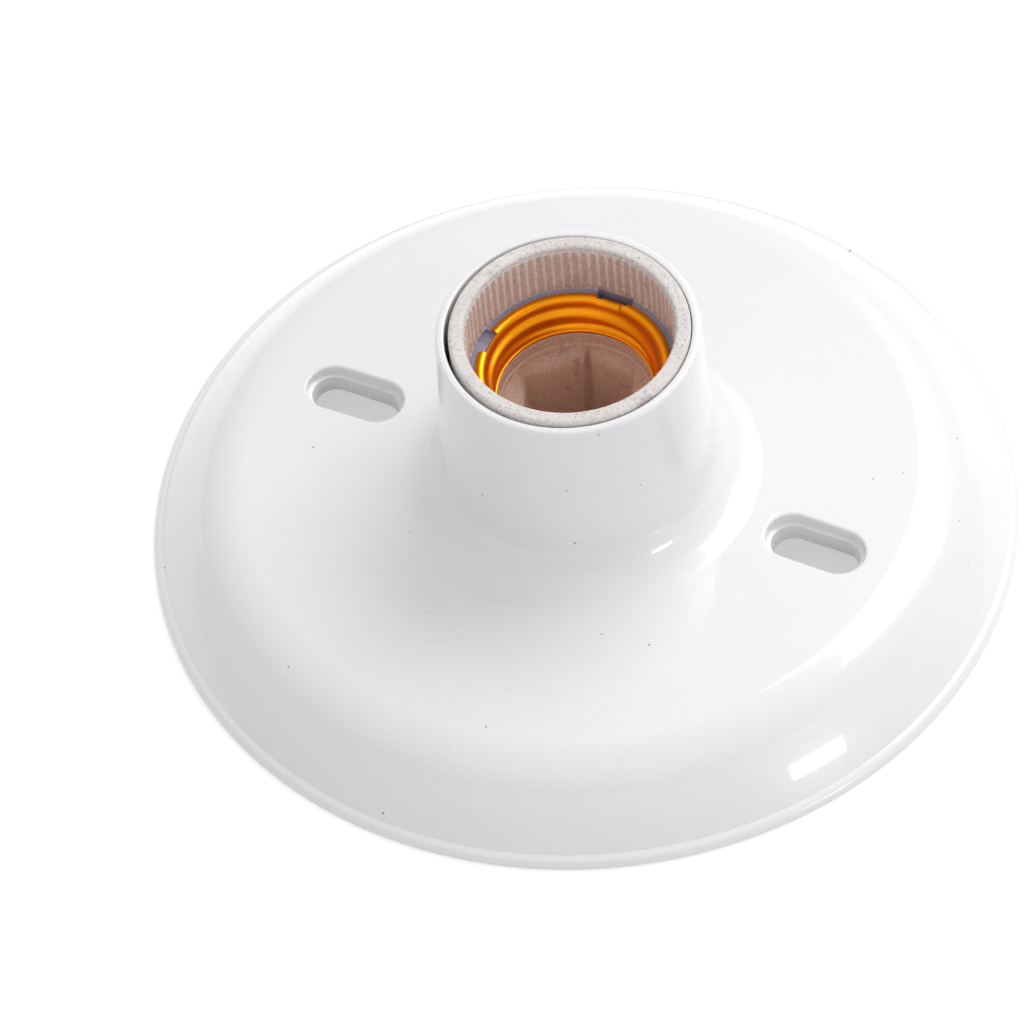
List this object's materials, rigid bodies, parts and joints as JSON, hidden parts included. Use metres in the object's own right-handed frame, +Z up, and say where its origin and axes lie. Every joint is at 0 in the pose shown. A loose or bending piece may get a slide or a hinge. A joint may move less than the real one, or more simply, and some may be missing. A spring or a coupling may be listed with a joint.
{
  "type": "batten lamp holder",
  "caption": "White round ceiling plate with a short tower, holding a porcelain socket with a gold screw shell for a lamp cap and stepped slots for mounting screws.",
  "frame": {"origin": "centre of the plate's back face, where it meets the ceiling", "axes": "+Z up the tower towards its mouth, +X from one mounting slot to the other"},
  "size_m": [0.1368, 0.1368, 0.0464],
  "materials": {
    "ceiling_plate": "glossy white moulding",
    "centre_contact": "bright bronze strip",
    "centre_contact_screw": "turned brass",
    "line_terminal": "stamped brass",
    "line_wire_screw": "turned brass",
    "line_wire_washer": "zinc-plated steel",
    "neutral_terminal": "stamped brass",
    "neutral_wire_screw": "turned brass",
    "neutral_wire_washer": "zinc-plated steel",
    "porcelain_body": "unglazed porcelain, off-white with faint stains",
    "retaining_screw_left": "zinc-plated steel",
    "retaining_screw_right": "zinc-plated steel",
    "retaining_washer_left": "zinc-plated steel",
    "retaining_washer_right": "zinc-plated steel",
    "threaded_shell": "bright gold-orange lacquered sheet"
  },
  "bodies": {
    "root": {"ceiling_plate": "ceiling_plate", "porcelain_body": "porcelain_body", "threaded_shell": "threaded_shell", "centre_contact_screw": "centre_contact_screw", "line_terminal": "line_terminal", "neutral_terminal": "neutral_terminal", "retaining_screw_left": "retaining_screw_left", "retaining_screw_right": "retaining_screw_right", "retaining_washer_left": "retaining_washer_left", "retaining_washer_right": "retaining_washer_right"},
    "contact": {"centre_contact": "centre_contact"},
    "line_clamp": {"line_wire_washer": "line_wire_washer"},
    "line_screw": {"line_wire_screw": "line_wire_screw"},
    "neutral_clamp": {"neutral_wire_washer": "neutral_wire_washer"},
    "neutral_screw": {"neutral_wire_screw": "neutral_wire_screw"}
  },
  "joints": [
    {"name": "contact_flex", "type": "hinge", "parent": "root", "child": "contact", "pos_m": [0.00023, -0.00429, 0.01535], "axis": [-1, 0, 0], "range_deg": [0, 12], "stiffness_Nm_per_rad": 0.2, "deforming": ["centre_contact"]},
    {"name": "line_clamp_travel", "type": "slide", "parent": "root", "child": "line_clamp", "axis": [0, 0, -1], "range_m": [0, 0.0021]},
    {"name": "line_screw_turn", "type": "hinge", "parent": "line_clamp", "child": "line_screw", "pos_m": [0.00023, -0.01259, 0.00855], "axis": [0, 0, -1], "range_deg": [0, 1261]},
    {"name": "neutral_clamp_travel", "type": "slide", "parent": "root", "child": "neutral_clamp", "axis": [0, 0, -1], "range_m": [0, 0.0021]},
    {"name": "neutral_screw_turn", "type": "hinge", "parent": "neutral_clamp", "child": "neutral_screw", "pos_m": [0.00023, 0.01001, 0.00795], "axis": [0, 0, -1], "range_deg": [0, 1261]}
  ],
  "couplings": [
    {"joint": "line_screw_turn", "follows": "line_clamp_travel", "rad_per_m": 10472},
    {"joint": "neutral_screw_turn", "follows": "neutral_clamp_travel", "rad_per_m": 10472}
  ]
}
